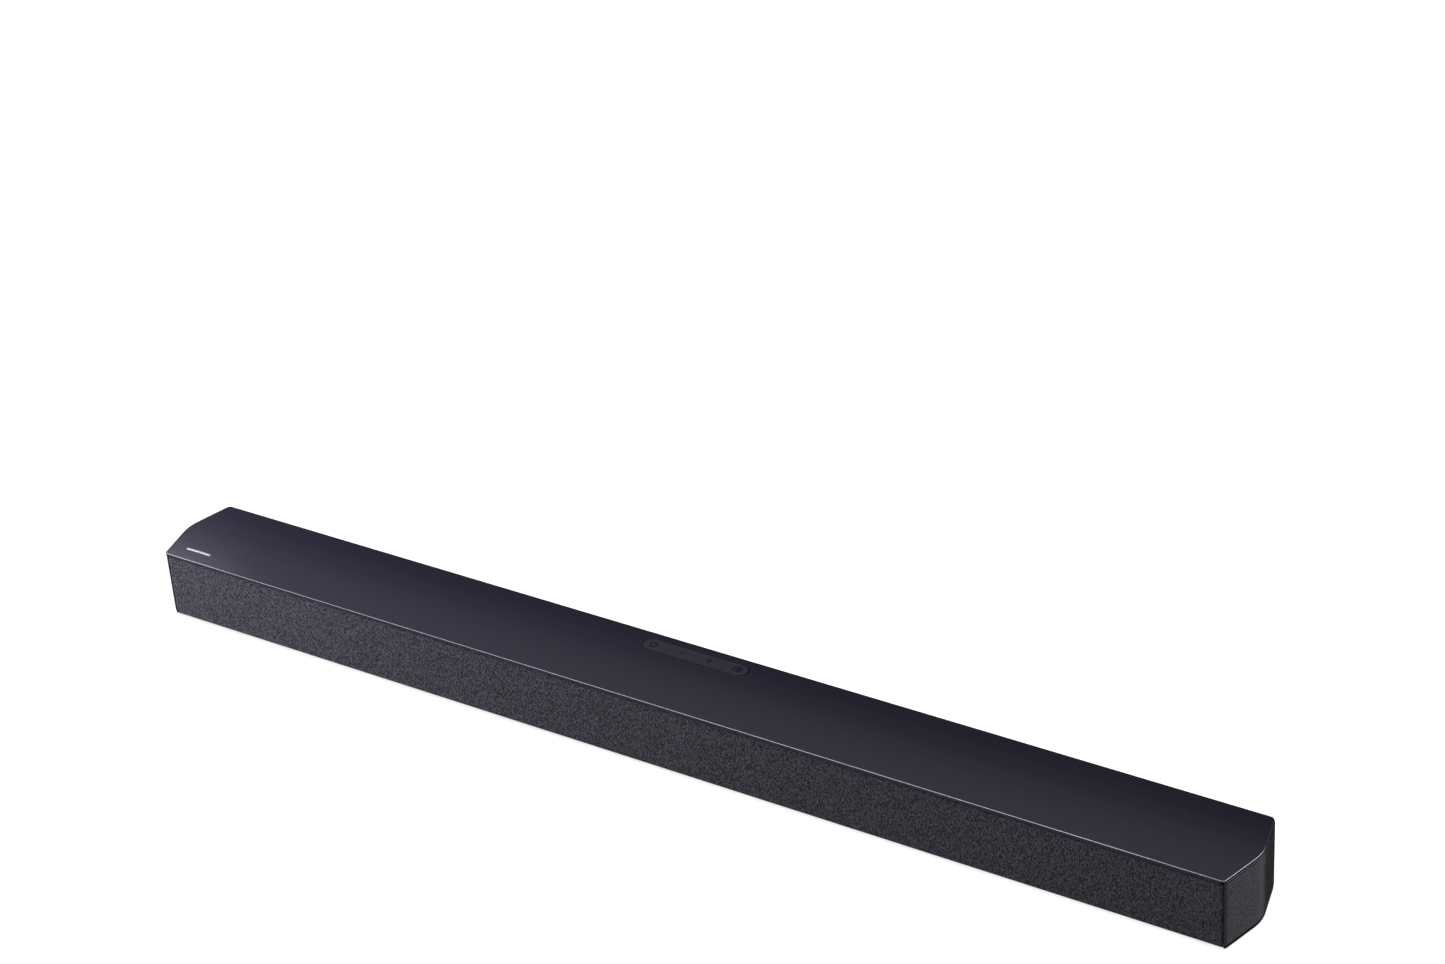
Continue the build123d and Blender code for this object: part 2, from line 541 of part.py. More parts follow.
with BuildPart() as capacitors:
    drilled([(42, -13), (52, -13), (42, -3.5), (52, -3.5)], 4.0, MAIN_BOARD_TOP, 12, Mode.ADD)
    fillet(capacitors.faces().group_by(Axis.Z)[-1].edges(), 0.5)
save(capacitors, "capacitors")

# ---- Sensor board behind the grille ----
SENSOR_BOARD_Y = BAFFLE_BACK + 2.5
with BuildPart() as sensor_board:
    with Locations((SENSOR_X, SENSOR_BOARD_Y, DRIVER_Z)):
        Box(42, 1.2, 14, align=(Align.CENTER, Align.MIN, Align.CENTER))
    with Locations(*[(SENSOR_X + s * 17, SENSOR_BOARD_Y, DRIVER_Z) for s in (-1, 1)]):
        with Locations(Rotation(-90, 0, 0)):
            Cylinder(1.4, 10, mode=Mode.SUBTRACT)
save(sensor_board, "sensor_board")

with BuildPart() as ir_receiver:
    with Locations((SENSOR_X + 8, SENSOR_BOARD_Y, DRIVER_Z)):
        Box(5.4, 3.2, 6.4, align=(Align.CENTER, Align.MAX, Align.CENTER))
    with BuildSketch(Plane.XZ.offset(-SENSOR_BOARD_Y + 3.2)):
        with Locations((SENSOR_X + 8, DRIVER_Z)):
            Circle(2.2)
    extrude(amount=1.0)
save(ir_receiver, "ir_receiver")

with BuildPart() as status_leds:
    with Locations(*[(SENSOR_X - 10 + i * 3.5, SENSOR_BOARD_Y, DRIVER_Z) for i in range(4)]):
        Box(1.6, 0.8, 0.8, align=(Align.CENTER, Align.MAX, Align.CENTER))
save(status_leds, "status_leds")

# ---- Fasteners ----
with BuildPart() as wall_mount_inserts:
    with Locations(*[(x, BACK_Y, WALL_MOUNT_Z) for x in (-WALL_MOUNT_SPACING / 2, WALL_MOUNT_SPACING / 2)]):
        with Locations(Rotation(90, 0, 0)):
            Cylinder(2.98, INSERT_LENGTH - 0.1, align=(Align.CENTER, Align.CENTER, Align.MIN))
            Cylinder(INSERT_BORE, INSERT_LENGTH, align=(Align.CENTER, Align.CENTER, Align.MIN),
                     mode=Mode.SUBTRACT)
save(wall_mount_inserts, "wall_mount_inserts")

with BuildPart() as case_screws:
    drilled(CASE_SCREW_XY, 2.9, CASE_SCREW_SEAT - 2.0, 2.0, Mode.ADD)
    drilled(CASE_SCREW_XY, 1.48, CASE_SCREW_SEAT, 11.0, Mode.ADD)
    with BuildSketch(Plane.XY.offset(CASE_SCREW_SEAT - 2.0)):
        with Locations(*CASE_SCREW_XY):
            Rectangle(3.4, 0.8)
            Rectangle(0.8, 3.4)
    extrude(amount=1.0, mode=Mode.SUBTRACT)
save(case_screws, "case_screws")

SCREW_SHANK = 1.18
SCREW_HEAD = 2.3
with BuildPart() as board_screws:
    drilled(MAIN_BOARD_SCREWS, SCREW_HEAD, MAIN_BOARD_TOP, 1.5, Mode.ADD)
    drilled(MAIN_BOARD_SCREWS, SCREW_SHANK, MAIN_BOARD_BOTTOM - 3.6, 5.2, Mode.ADD)
    drilled(KEY_BOARD_SCREWS, SCREW_HEAD, KEY_BOARD_TOP - BOARD_THICKNESS - 1.5, 1.5, Mode.ADD)
    drilled(KEY_BOARD_SCREWS, SCREW_SHANK, KEY_BOARD_TOP - BOARD_THICKNESS, 6.0, Mode.ADD)
    for side in (-1, 1):
        with Locations(Plane((SENSOR_X + side * 17, SENSOR_BOARD_Y + 1.2, DRIVER_Z), x_dir=(1, 0, 0),
                             z_dir=(0, 1, 0))):
            Cylinder(SCREW_HEAD, 1.5, align=(Align.CENTER, Align.CENTER, Align.MIN))
            Cylinder(SCREW_SHANK, 5.0, align=(Align.CENTER, Align.CENTER, Align.MAX))
save(board_screws, "board_screws")

# ---- Internal wiring ----
with BuildPart() as key_ribbon:
    with BuildSketch(Plane.YZ.offset(-6)):
        with BuildLine():
            FilletPolyline(
                (16.0, KEY_BOARD_TOP - BOARD_THICKNESS - 0.2), (2.0, KEY_BOARD_TOP - BOARD_THICKNESS - 1.0),
                (-1.0, 26.0), (3.0, MAIN_BOARD_TOP + 0.2), radius=3.0,
            )
        trace(line_width=0.3)
    extrude(amount=12)
save(key_ribbon, "key_ribbon")

LEAD_RADIUS = 1.1
LEAD_ROUTE = [(72, -10, 12.0), (92, -13, 7.5), (138, -8, 6.0), (176, -6, 6.2), (222, -9, 5.8),
              (256, -7, 7.0), (261, -8, 17.0)]
LINK_ROUTE = [(299, -8, 17.0), (304, -6, 8.0), (317, -9, 8.2), (321, -8, 17.0)]
with BuildPart() as speaker_leads:
    for route in (LEAD_ROUTE, LINK_ROUTE):
        for side in (-1, 1):
            points = [(side * x, y, z) for x, y, z in route]
            with BuildLine() as lead_path:
                FilletPolyline(*points, radius=3.0)
            with BuildSketch(Plane(points[0], z_dir=lead_path.line % 0)):
                Circle(LEAD_RADIUS)
            sweep(path=lead_path.line)
save(speaker_leads, "speaker_leads")
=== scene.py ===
"""A compact soundbar: ribbed end caps, a brushed top cover with four keys, and a front of stretched melange cloth.

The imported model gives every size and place. This script dresses it: each sub-assembly is a class that keeps
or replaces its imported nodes, each surface finish is a small frozen class, and the studio comes last.
"""

import logging
import math
from dataclasses import dataclass, field
from enum import Enum
from typing import Any

import bmesh
import bpy
from mathutils import Matrix, Vector


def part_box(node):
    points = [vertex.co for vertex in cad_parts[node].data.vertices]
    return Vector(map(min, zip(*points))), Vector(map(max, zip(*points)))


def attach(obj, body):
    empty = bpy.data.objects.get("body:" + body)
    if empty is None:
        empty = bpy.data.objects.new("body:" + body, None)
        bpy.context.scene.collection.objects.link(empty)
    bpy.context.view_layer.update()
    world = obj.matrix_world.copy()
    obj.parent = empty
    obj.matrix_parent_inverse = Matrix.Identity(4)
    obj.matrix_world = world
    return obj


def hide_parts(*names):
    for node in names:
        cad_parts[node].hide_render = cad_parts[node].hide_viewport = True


log = logging.getLogger("soundbar")
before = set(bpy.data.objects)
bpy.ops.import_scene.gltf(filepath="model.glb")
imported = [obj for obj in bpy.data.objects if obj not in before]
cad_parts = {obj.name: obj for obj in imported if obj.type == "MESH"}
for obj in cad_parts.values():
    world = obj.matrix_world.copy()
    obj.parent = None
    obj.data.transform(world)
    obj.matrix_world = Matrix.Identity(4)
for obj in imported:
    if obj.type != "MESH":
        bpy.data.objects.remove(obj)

MM = 0.001
BODY = "case"
# Points nearer than this, in metres, become one, and an edge sharper than this, in degrees, stays sharp.
WELD = 1e-7
SMOOTH_ANGLE = 35.0
# Most of a noise lies between these.
NOISE_LOW, NOISE_HIGH = 0.25, 0.75
# Sockets of a Mix node for plain numbers, whose names repeat for its other types.
MIX_SHARE, MIX_FIRST, MIX_SECOND = 0, 2, 3


# ---------------------------------------------------------------- small tools


def linear(colour: str) -> tuple[float, float, float, float]:
    """Turn an sRGB hex colour into linear light.

    Args:
        colour: six hex digits with a leading hash.

    Returns:
        Red, green, blue and an alpha of 1, in linear light.
    """
    parts = [int(colour[i : i + 2], 16) / 255 for i in (1, 3, 5)]
    r, g, b = (c / 12.92 if c <= 0.04045 else ((c + 0.055) / 1.055) ** 2.4 for c in parts)
    return r, g, b, 1.0


def node(
    tree: bpy.types.NodeTree,
    kind: str,
    values: dict[Any, Any] | None = None,
    links: dict[Any, bpy.types.NodeSocket] | None = None,
    **settings: Any,
) -> bpy.types.Node:
    """Add one node to a tree, with its settings and links.

    Args:
        tree: the shader or geometry tree.
        kind: the node's type name.
        values: socket name or number to the value it starts with.
        links: socket name or number to the socket that feeds it.
        **settings: the node's own properties.

    Returns:
        The new node.
    """
    made = tree.nodes.new(kind)
    for name, value in settings.items():
        setattr(made, name, value)
    for name, value in (values or {}).items():
        made.inputs[name].default_value = value
    for name, socket in (links or {}).items():
        tree.links.new(socket, made.inputs[name])
    return made


def new_piece(name: str, mesh: bpy.types.Mesh, body: str = BODY) -> bpy.types.Object:
    """Put a finished mesh in the scene as a piece that rides on a body.

    Args:
        name: the piece's name.
        mesh: its mesh, already in place.
        body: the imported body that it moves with.

    Returns:
        The new object, at the origin.
    """
    made = bpy.data.objects.new(name, mesh)
    bpy.context.scene.collection.objects.link(made)
    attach(made, body)
    return made


def rounded_path(corners: list[tuple[float, float]], radii: list[float], steps: int) -> list[Vector]:
    """Round the inner corners of an open flat path with tangent arcs.

    Args:
        corners: the path's points in plan, first and last included.
        radii: one radius for each inner corner.
        steps: how many short runs each arc is divided into.

    Returns:
        The rounded path's points, at height 0.
    """
    points = [Vector((*corners[0], 0))]
    for before, corner, after, radius in zip(corners, corners[1:], corners[2:], radii):
        at = Vector((*corner, 0))
        back = (Vector((*before, 0)) - at).normalized()
        on = (Vector((*after, 0)) - at).normalized()
        half = back.angle(on) / 2
        centre = at + (back + on).normalized() * radius / math.sin(half)
        first = at + back * radius / math.tan(half) - centre
        last = at + on * radius / math.tan(half) - centre
        turn = first.angle(last)
        axis = first.cross(last).normalized()
        for i in range(steps + 1):
            points.append(centre + Matrix.Rotation(turn * i / steps, 3, axis) @ first)
    points.append(Vector((*corners[-1], 0)))
    return points


@dataclass
class GeometryTree:
    """A Geometry Nodes tree with named inputs, which ends in Realize Instances and Set Material."""

    name: str
    sizes: dict[str, float | int]
    tree: bpy.types.NodeTree = field(init=False)
    start: bpy.types.Node = field(init=False)

    def __post_init__(self) -> None:
        """Make the empty tree and its interface."""
        self.tree = bpy.data.node_groups.new(self.name, "GeometryNodeTree")
        interface = self.tree.interface
        interface.new_socket("Geometry", in_out="INPUT", socket_type="NodeSocketGeometry")
        for name, value in self.sizes.items():
            kind = "NodeSocketInt" if isinstance(value, int) else "NodeSocketFloat"
            interface.new_socket(name, in_out="INPUT", socket_type=kind)
        interface.new_socket("Finish", in_out="INPUT", socket_type="NodeSocketMaterial")
        interface.new_socket("Geometry", in_out="OUTPUT", socket_type="NodeSocketGeometry")
        self.start = node(self.tree, "NodeGroupInput")

    def input(self, name: str) -> bpy.types.NodeSocket:
        """Return the named input's socket."""
        return self.start.outputs[name]

    def close(self, geometry: bpy.types.NodeSocket) -> None:
        """Finish the tree with real geometry in one material.

        Args:
            geometry: the socket that carries everything made so far.
        """
        real = node(self.tree, "GeometryNodeRealizeInstances", links={"Geometry": geometry})
        dressed = node(
            self.tree,
            "GeometryNodeSetMaterial",
            links={"Geometry": real.outputs[0], "Material": self.input("Finish")},
        )
        node(self.tree, "NodeGroupOutput", links={"Geometry": dressed.outputs[0]})

    def sweep(
        self,
        path: bpy.types.NodeSocket,
        profile: bpy.types.NodeSocket,
        outward: str | None = None,
        downward: str | None = None,
    ) -> bpy.types.NodeSocket:
        """Move a flat profile to its place beside a path, and sweep it along the path with closed ends.

        Args:
            path: the curve that is followed.
            profile: the flat outline.
            outward: the input that moves the profile away from the path.
            downward: the input that moves it down.

        Returns:
            The swept solid.
        """
        links = {axis: self.input(name) for axis, name in (("X", outward), ("Y", downward)) if name}
        place = node(self.tree, "ShaderNodeCombineXYZ", links=links).outputs[0]
        moved = node(
            self.tree, "GeometryNodeTransform", links={"Geometry": profile, "Translation": place}
        ).outputs[0]
        return node(
            self.tree, "GeometryNodeCurveToMesh", {"Fill Caps": True}, {"Curve": path, "Profile Curve": moved}
        ).outputs[0]

    def mesh(self, start: bpy.types.Mesh, finish: bpy.types.Material) -> bpy.types.Mesh:
        """Run the tree on a start mesh and keep the result as a plain mesh.

        Args:
            start: the mesh that goes into the tree.
            finish: the material of everything that comes out.

        Returns:
            The plain mesh, with its faces outwards.
        """
        carrier = bpy.data.objects.new(self.name, start)
        bpy.context.scene.collection.objects.link(carrier)
        modifier = carrier.modifiers.new(self.name, "NODES")
        modifier.node_group = self.tree
        for item in self.tree.interface.items_tree:
            if item.in_out == "INPUT" and item.name in self.sizes:
                modifier[item.identifier] = self.sizes[item.name]
            elif item.in_out == "INPUT" and item.name == "Finish":
                modifier[item.identifier] = finish
        graph = bpy.context.evaluated_depsgraph_get()
        made = bpy.data.meshes.new_from_object(carrier.evaluated_get(graph))
        bpy.data.objects.remove(carrier)
        shell = bmesh.new()
        shell.from_mesh(made)
        bmesh.ops.remove_doubles(shell, verts=shell.verts, dist=WELD)
        bmesh.ops.recalc_face_normals(shell, faces=shell.faces)
        shell.to_mesh(made)
        shell.free()
        made.polygons.foreach_set("use_smooth", [True] * len(made.polygons))
        made.set_sharp_from_angle(angle=math.radians(SMOOTH_ANGLE))
        made.update()
        return made


# ---------------------------------------------------------------- finishes


@dataclass(frozen=True)
class Finish:
    """A surface: its name, colour and how it takes the light. Each kind adds its own pattern."""

    name: str
    colour: str
    roughness: float = 0.5
    metallic: float = 0.0
    ior: float = 1.5

    def material(self) -> bpy.types.Material:
        """Build the material once, and return it."""
        made = bpy.data.materials.get(self.name)
        if made and made.get("built"):
            return made
        made = bpy.data.materials.new(self.name)
        made.use_nodes = True
        made["built"] = True
        tree = made.node_tree
        tree.nodes.clear()
        shader = node(
            tree,
            "ShaderNodeBsdfPrincipled",
            {
                "Base Color": linear(self.colour),
                "Roughness": self.roughness,
                "Metallic": self.metallic,
                "IOR": self.ior,
            },
        )
        node(tree, "ShaderNodeOutputMaterial", links={"Surface": shader.outputs[0]})
        place = node(tree, "ShaderNodeTexCoord")
        self.pattern(tree, shader, place.outputs["Object"])
        return made

    def pattern(self, tree: bpy.types.NodeTree, shader: bpy.types.Node, place: bpy.types.NodeSocket) -> None:
        """Add this finish's own colour, roughness and relief.

        Args:
            tree: the material's tree.
            shader: its surface shader.
            place: where each point lies on the object.
        """

    @staticmethod
    def grain(
        tree: bpy.types.NodeTree,
        place: bpy.types.NodeSocket,
        size: tuple[float, float, float],
        detail: float = 2.0,
    ) -> bpy.types.NodeSocket:
        """Add a noise with spots of a real size.

        Args:
            tree: the material's tree.
            place: where each point lies.
            size: the spots' size along X, Y and Z, in millimetres.
            detail: how many finer layers lie over the spots.

        Returns:
            The noise, about 0.5 on average.
        """
        scaled = node(
            tree, "ShaderNodeMapping", {"Scale": tuple(1 / (MM * s) for s in size)}, {"Vector": place}
        )
        return node(
            tree, "ShaderNodeTexNoise", {"Scale": 1.0, "Detail": detail}, {"Vector": scaled.outputs[0]}
        ).outputs["Fac"]

    @staticmethod
    def uneven_gloss(
        tree: bpy.types.NodeTree,
        shader: bpy.types.Node,
        source: bpy.types.NodeSocket,
        low: float,
        high: float,
    ) -> None:
        """Let a noise move the roughness between two ends.

        Args:
            tree: the material's tree.
            shader: its surface shader.
            source: the noise.
            low: the roughness where the noise is low.
            high: the roughness where it is high.
        """
        scaled = node(
            tree,
            "ShaderNodeMapRange",
            {"From Min": NOISE_LOW, "From Max": NOISE_HIGH, "To Min": low, "To Max": high},
            {"Value": source},
        )
        tree.links.new(scaled.outputs[0], shader.inputs["Roughness"])

    @staticmethod
    def two_tone(
        tree: bpy.types.NodeTree,
        shader: bpy.types.Node,
        source: bpy.types.NodeSocket,
        tones: tuple[str, str],
        ends: tuple[float, float] = (0.3, 0.7),
    ) -> None:
        """Let a noise mix the surface's two colours.

        Args:
            tree: the material's tree.
            shader: its surface shader.
            source: the noise.
            tones: the colours where it is low and where it is high.
            ends: the noise below which only the first shows, and above which only the second does.
        """
        ramp = node(tree, "ShaderNodeValToRGB", links={"Fac": source})
        for stop, tone, end in zip(ramp.color_ramp.elements, tones, ends):
            stop.position = end
            stop.color = linear(tone)
        tree.links.new(ramp.outputs[0], shader.inputs["Base Color"])

    @staticmethod
    def relief(
        tree: bpy.types.NodeTree,
        shader: bpy.types.Node,
        source: bpy.types.NodeSocket,
        depth_mm: float,
        strength: float,
    ) -> None:
        """Give the surface a fine relief.

        Args:
            tree: the material's tree.
            shader: its surface shader.
            source: the height, from 0 to 1.
            depth_mm: how deep the relief is.
            strength: how much of it shows.
        """
        bump = node(
            tree, "ShaderNodeBump", {"Distance": depth_mm * MM, "Strength": strength}, {"Height": source}
        )
        tree.links.new(bump.outputs[0], shader.inputs["Normal"])


@dataclass(frozen=True)
class MouldedPlastic(Finish):
    """Injection-moulded plastic with a spark-eroded grain: a dull, even surface with tiny bright points."""

    shade: str = "#000000"
    grain_mm: float = 0.35
    depth_mm: float = 0.02
    tone_mm: float = 18.0
    gloss: float = 0.5
    gloss_spread: float = 0.06
    relief_strength: float = 0.5

    def pattern(self, tree: bpy.types.NodeTree, shader: bpy.types.Node, place: bpy.types.NodeSocket) -> None:
        """Add the mould's grain, and the slight unevenness of its tone and gloss."""
        fine = self.grain(tree, place, (self.grain_mm,) * 3, 3.0)
        wide = self.grain(tree, place, (self.tone_mm,) * 3)
        self.two_tone(tree, shader, wide, (self.shade, self.colour))
        self.uneven_gloss(
            tree, shader, fine, self.roughness - self.gloss_spread, self.roughness + self.gloss_spread
        )
        self.relief(tree, shader, fine, self.depth_mm, self.relief_strength)
        shader.inputs["Specular IOR Level"].default_value = self.gloss


@dataclass(frozen=True)
class HairlineCover(Finish):
    """ABS moulded in a brushed tool: a satin violet-black with hairlines that run the whole length.

    The rounded edge catches the light as a thin bright line. That line is too thin to show by itself, so the
    pattern exaggerates it, with a refractive index there that is far above the plastic's own.
    """

    shade: str = "#000000"
    line_mm: float = 0.45
    line_length_mm: float = 60.0
    band_mm: float = 5.0
    band_length_mm: float = 420.0
    band_share: float = 0.35
    gloss_spread: float = 0.04
    depth_mm: float = 0.01
    relief_strength: float = 0.2
    tint: tuple[float, float, float, float] = (0.95, 0.9, 1.0, 1.0)
    flat_index: float = 1.45
    edge_index: float = 2.4
    leaves_top: tuple[float, float] = (0.97, 0.85)
    reaches_side: tuple[float, float] = (0.12, 0.3)

    def pattern(self, tree: bpy.types.NodeTree, shader: bpy.types.Node, place: bpy.types.NodeSocket) -> None:
        """Add hairlines in the colour, the gloss and the relief, and the edge's bright line."""
        lines = self.grain(tree, place, (self.line_length_mm, self.line_mm, self.line_mm), 4.0)
        bands = self.grain(tree, place, (self.band_length_mm, self.band_mm, self.band_mm))
        both = node(
            tree, "ShaderNodeMix", {MIX_SHARE: self.band_share}, {MIX_FIRST: lines, MIX_SECOND: bands}
        ).outputs[0]
        self.two_tone(tree, shader, both, (self.shade, self.colour))
        self.uneven_gloss(
            tree, shader, both, self.roughness - self.gloss_spread, self.roughness + self.gloss_spread
        )
        self.relief(tree, shader, lines, self.depth_mm, self.relief_strength)
        shader.inputs["Specular Tint"].default_value = self.tint
        self.bright_edge(tree, shader)

    def bright_edge(self, tree: bpy.types.NodeTree, shader: bpy.types.Node) -> None:
        """Raise the refractive index where the surface has turned from the flat top, but isn't upright yet.

        Args:
            tree: the material's tree.
            shader: its surface shader.
        """
        normal = node(tree, "ShaderNodeTexCoord").outputs["Normal"]
        upward = node(tree, "ShaderNodeSeparateXYZ", links={0: normal}).outputs["Z"]
        edge = node(
            tree,
            "ShaderNodeMapRange",
            {
                "From Min": self.leaves_top[0],
                "From Max": self.leaves_top[1],
                "To Min": self.flat_index,
                "To Max": self.edge_index,
            },
            {"Value": upward},
        ).outputs[0]
        turned = node(
            tree,
            "ShaderNodeMapRange",
            {"From Min": self.reaches_side[0], "From Max": self.reaches_side[1]},
            {"Value": upward},
        ).outputs[0]
        index = node(tree, "ShaderNodeMix", {MIX_FIRST: self.flat_index}, {MIX_SHARE: turned, MIX_SECOND: edge})
        tree.links.new(index.outputs[0], shader.inputs["IOR"])


@dataclass(frozen=True)
class MelangeCloth(Finish):
    """Woven polyester of mixed dark and pale yarns: a soft, mottled face with short upright slubs.

    The yarns are drawn a little coarser than real, so that they show.
    """

    pale: str = "#000000"
    yarn_mm: float = 0.62
    slub_mm: float = 1.9
    speck_to_yarn: float = 0.8
    speck_share: float = 0.45
    weave_share: float = 0.5
    contrast: tuple[float, float] = (0.45, 0.57)
    depth_mm: float = 0.25
    relief_strength: float = 0.6
    gloss: float = 0.06
    sheen: float = 0.04
    sheen_roughness: float = 0.6

    def pattern(self, tree: bpy.types.NodeTree, shader: bpy.types.Node, place: bpy.types.NodeSocket) -> None:
        """Add the mixed yarns and their weave."""
        slubs = self.grain(tree, place, (self.yarn_mm, self.yarn_mm, self.slub_mm))
        specks = self.grain(tree, place, (self.yarn_mm * self.speck_to_yarn,) * 3, 1.0)
        mixed = node(
            tree, "ShaderNodeMix", {MIX_SHARE: self.speck_share}, {MIX_FIRST: slubs, MIX_SECOND: specks}
        ).outputs[0]
        self.two_tone(tree, shader, mixed, (self.colour, self.pale), self.contrast)
        weave = node(
            tree, "ShaderNodeMix", {MIX_SHARE: self.weave_share}, {MIX_FIRST: mixed, MIX_SECOND: specks}
        ).outputs[0]
        self.relief(tree, shader, weave, self.depth_mm, self.relief_strength)
        shader.inputs["Specular IOR Level"].default_value = self.gloss
        shader.inputs["Sheen Weight"].default_value = self.sheen
        shader.inputs["Sheen Roughness"].default_value = self.sheen_roughness


class Working(Enum):
    """How a metal's surface was made, as the size of its marks in millimetres along X, Y and Z."""

    PLATED = (0.4, 0.4, 0.4)
    TURNED = (3.0, 0.15, 3.0)
    BRUSHED = (8.0, 0.12, 0.12)
    EXTRUDED = (0.2, 9.0, 0.2)


@dataclass(frozen=True)
class WorkedMetal(Finish):
    """Bare, plated or blackened metal: crisp reflections broken by the marks of how it was made."""

    metallic: float = 1.0
    working: Working = Working.PLATED
    smoothest: float = 0.05
    smoother_by: float = 0.08
    rougher_by: float = 0.1
    depth_mm: float = 0.006
    relief_strength: float = 0.4

    def pattern(self, tree: bpy.types.NodeTree, shader: bpy.types.Node, place: bpy.types.NodeSocket) -> None:
        """Add the marks of the plating, turning, brushing or extruding."""
        marks = self.grain(tree, place, self.working.value, 3.0)
        low = max(self.smoothest, self.roughness - self.smoother_by)
        self.uneven_gloss(tree, shader, marks, low, self.roughness + self.rougher_by)
        self.relief(tree, shader, marks, self.depth_mm, self.relief_strength)


@dataclass(frozen=True)
class SoftPart(Finish):
    """Rubber, paper pulp, PVC or dipped cotton: a dry surface whose fibres or bloom lift its colour in patches."""

    patch: str = "#000000"
    fibre_mm: tuple[float, float, float] = (0.8, 0.8, 0.8)
    depth_mm: float = 0.06
    relief_strength: float = 0.6

    def pattern(self, tree: bpy.types.NodeTree, shader: bpy.types.Node, place: bpy.types.NodeSocket) -> None:
        """Add the fibres or the bloom."""
        fibres = self.grain(tree, place, self.fibre_mm, 4.0)
        self.two_tone(tree, shader, fibres, (self.colour, self.patch))
        self.relief(tree, shader, fibres, self.depth_mm, self.relief_strength)


@dataclass(frozen=True)
class SolderMask(Finish):
    """Green lacquer over etched copper: a glossy film that steps over the tracks under it."""

    track: str = "#000000"
    pitch_mm: float = 2.2
    depth_mm: float = 0.03
    relief_strength: float = 0.5

    def pattern(self, tree: bpy.types.NodeTree, shader: bpy.types.Node, place: bpy.types.NodeSocket) -> None:
        """Add the tracks that show through the lacquer."""
        scaled = node(
            tree, "ShaderNodeMapping", {"Scale": (1 / (MM * self.pitch_mm),) * 3}, {"Vector": place}
        )
        tracks = node(
            tree, "ShaderNodeTexVoronoi", {"Scale": 1.0}, {"Vector": scaled.outputs[0]}, distance="CHEBYCHEV"
        ).outputs["Distance"]
        self.two_tone(tree, shader, tracks, (self.colour, self.track))
        self.relief(tree, shader, tracks, self.depth_mm, self.relief_strength)


@dataclass(frozen=True)
class PrintedInk(Finish):
    """Pad-printed ink: a thin matt film, dark and slightly uneven."""

    film_mm: float = 0.25
    gloss: float = 0.02
    gloss_spread: float = 0.08

    def pattern(self, tree: bpy.types.NodeTree, shader: bpy.types.Node, place: bpy.types.NodeSocket) -> None:
        """Add the ink's uneven gloss."""
        film = self.grain(tree, place, (self.film_mm,) * 3)
        self.uneven_gloss(
            tree, shader, film, self.roughness - self.gloss_spread, self.roughness + self.gloss_spread
        )
        shader.inputs["Specular IOR Level"].default_value = self.gloss


# Top cover: a satin sheen drawn out along the bar, with a bright line at the rounded edge.
COVER = HairlineCover("cover_brushed_abs", "#201f2c", 0.26, shade="#1c1b27")
# Key faces: matt, a little lighter than the cover round them.
KEY = MouldedPlastic("key_matt_abs", "#2e2d35", 0.6, shade="#2b2a32", grain_mm=0.3, gloss=0.15)
# End caps: a smooth satin that picks out each rib.
CAP = MouldedPlastic("cap_satin_abs", "#1e1d25", 0.3, shade="#1b1a22", grain_mm=0.3, depth_mm=0.006)
# Cabinet: a coarse dull grain that hides scuffs.
CABINET = MouldedPlastic("cabinet_textured_abs", "#1f1e22", 0.55, shade="#1b1a1e", grain_mm=0.7, depth_mm=0.06)
# Baffle and grille frame: plain flat black, seen only behind the cloth.
BAFFLE = MouldedPlastic("baffle_abs", "#161618", 0.6, shade="#131315")
# Connector panel: a fine dull grain.
PANEL = MouldedPlastic("panel_abs", "#1a1a1d", 0.5, shade="#171719", grain_mm=0.5)
# Sockets and plungers: slightly waxy black.
NYLON = MouldedPlastic("socket_nylon", "#121214", 0.4, shade="#0f0f11")
# Grille cloth: charcoal, mottled by paler yarns.
CLOTH = MelangeCloth("melange_polyester", "#020203", 0.9, pale="#434149")
# Feet: dry black with a faint grey bloom.
RUBBER = SoftPart("foot_rubber", "#151516", 0.75, patch="#1d1d1e")
# Cone surrounds: smooth soft black.
BUTYL = SoftPart("surround_butyl", "#141415", 0.55, patch="#19191b", fibre_mm=(2.0, 2.0, 2.0), depth_mm=0.02)
# Cones: dark grey with pressed fibres.
PULP = SoftPart("cone_paper_pulp", "#26262a", 0.8, patch="#34343a", fibre_mm=(0.3, 0.3, 1.6))
# Spiders: resin-dipped weave in tobacco brown.
DIPPED_COTTON = SoftPart("spider_dipped_cotton", "#8a6a32", 0.8, patch="#a58245", fibre_mm=(0.4, 0.4, 0.4))
# Speaker leads: sleek black sheath.
LEAD = SoftPart("lead_pvc", "#1a1a1b", 0.45, patch="#222224", fibre_mm=(3.0, 3.0, 3.0), depth_mm=0.01)
# Key ribbon: milky white film.
FILM = SoftPart("ribbon_polyester", "#c9c9cf", 0.35, patch="#dadade", fibre_mm=(1.0, 40.0, 40.0), depth_mm=0.02)
# Badge: bright metal with fine lines along it.
ALUMINIUM = WorkedMetal("badge_bright_aluminium", "#c4c4c8", 0.25, working=Working.BRUSHED)
# Heatsink: pale metal with the die's lines.
SINK = WorkedMetal("heatsink_extruded_aluminium", "#a8a8ac", 0.4, working=Working.EXTRUDED)
# Socket shells and switches: plain bright plating.
STEEL = WorkedMetal("plated_steel", "#b4b4b2", 0.3, working=Working.PLATED)
# Screws: dark metal with turning marks.
BLACK_STEEL = WorkedMetal("black_zinc_steel", "#3a3a3d", 0.35, working=Working.TURNED)
# Wall-mount inserts: yellow turned metal.
BRASS = WorkedMetal("turned_brass", "#c79a4c", 0.3, working=Working.TURNED)
# Contacts: a thin warm flash.
GOLD = WorkedMetal("gold_flash", "#d8ab4e", 0.22, working=Working.PLATED)
# Voice coils: red-brown wire under clear enamel.
COPPER = WorkedMetal("enamelled_copper", "#b8683c", 0.3, working=Working.TURNED)
